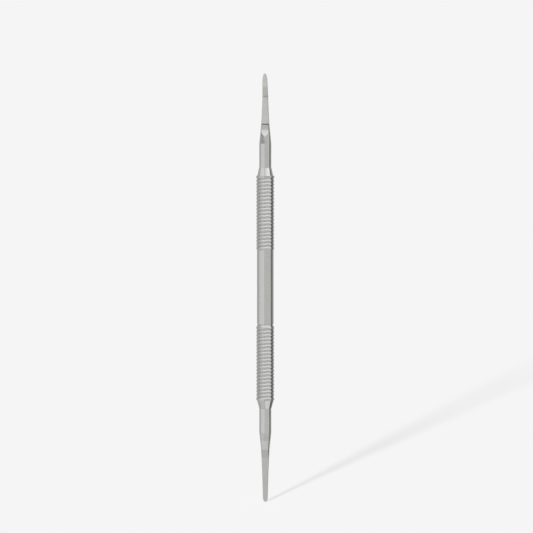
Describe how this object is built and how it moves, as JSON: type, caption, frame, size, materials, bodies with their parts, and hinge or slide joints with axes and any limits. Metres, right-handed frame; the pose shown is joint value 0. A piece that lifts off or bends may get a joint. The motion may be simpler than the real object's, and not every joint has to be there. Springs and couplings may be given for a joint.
{
  "type": "cuticle pusher",
  "caption": "Slim double-ended steel nail instrument: a hollow octagonal handle with ringed grips, a straight blade at one end and a bent-tipped blade at the other.",
  "frame": {"origin": "the tip of the straight blade, on the tool's long axis, at the centre of the bounding box's base", "axes": "+Z runs along the tool from the straight blade's tip to the bent blade's tip; the blades' broad faces look along -Y and +Y and the bent tip leans towards -Y; a corner of the octagonal handle points along each of X and Y"},
  "size_m": [0.0064, 0.0064, 0.15],
  "materials": {
    "handle_steel": "fine satin stainless steel with turned rings",
    "collar_steel": "polished stainless steel with faint grinding marks",
    "file_steel": "ground stainless steel with a matt, finely cut blade",
    "brazing_metal": "dull pale silver brazing metal"
  },
  "bodies": {
    "root": {"handle_tube": "handle_steel", "upper_collar": "collar_steel", "lower_collar": "collar_steel", "bent_file": "file_steel", "straight_file": "file_steel", "upper_collar_braze_ring": "brazing_metal", "lower_collar_braze_ring": "brazing_metal", "upper_tang_braze_ring": "brazing_metal", "lower_tang_braze_ring": "brazing_metal"}
  },
  "joints": []
}
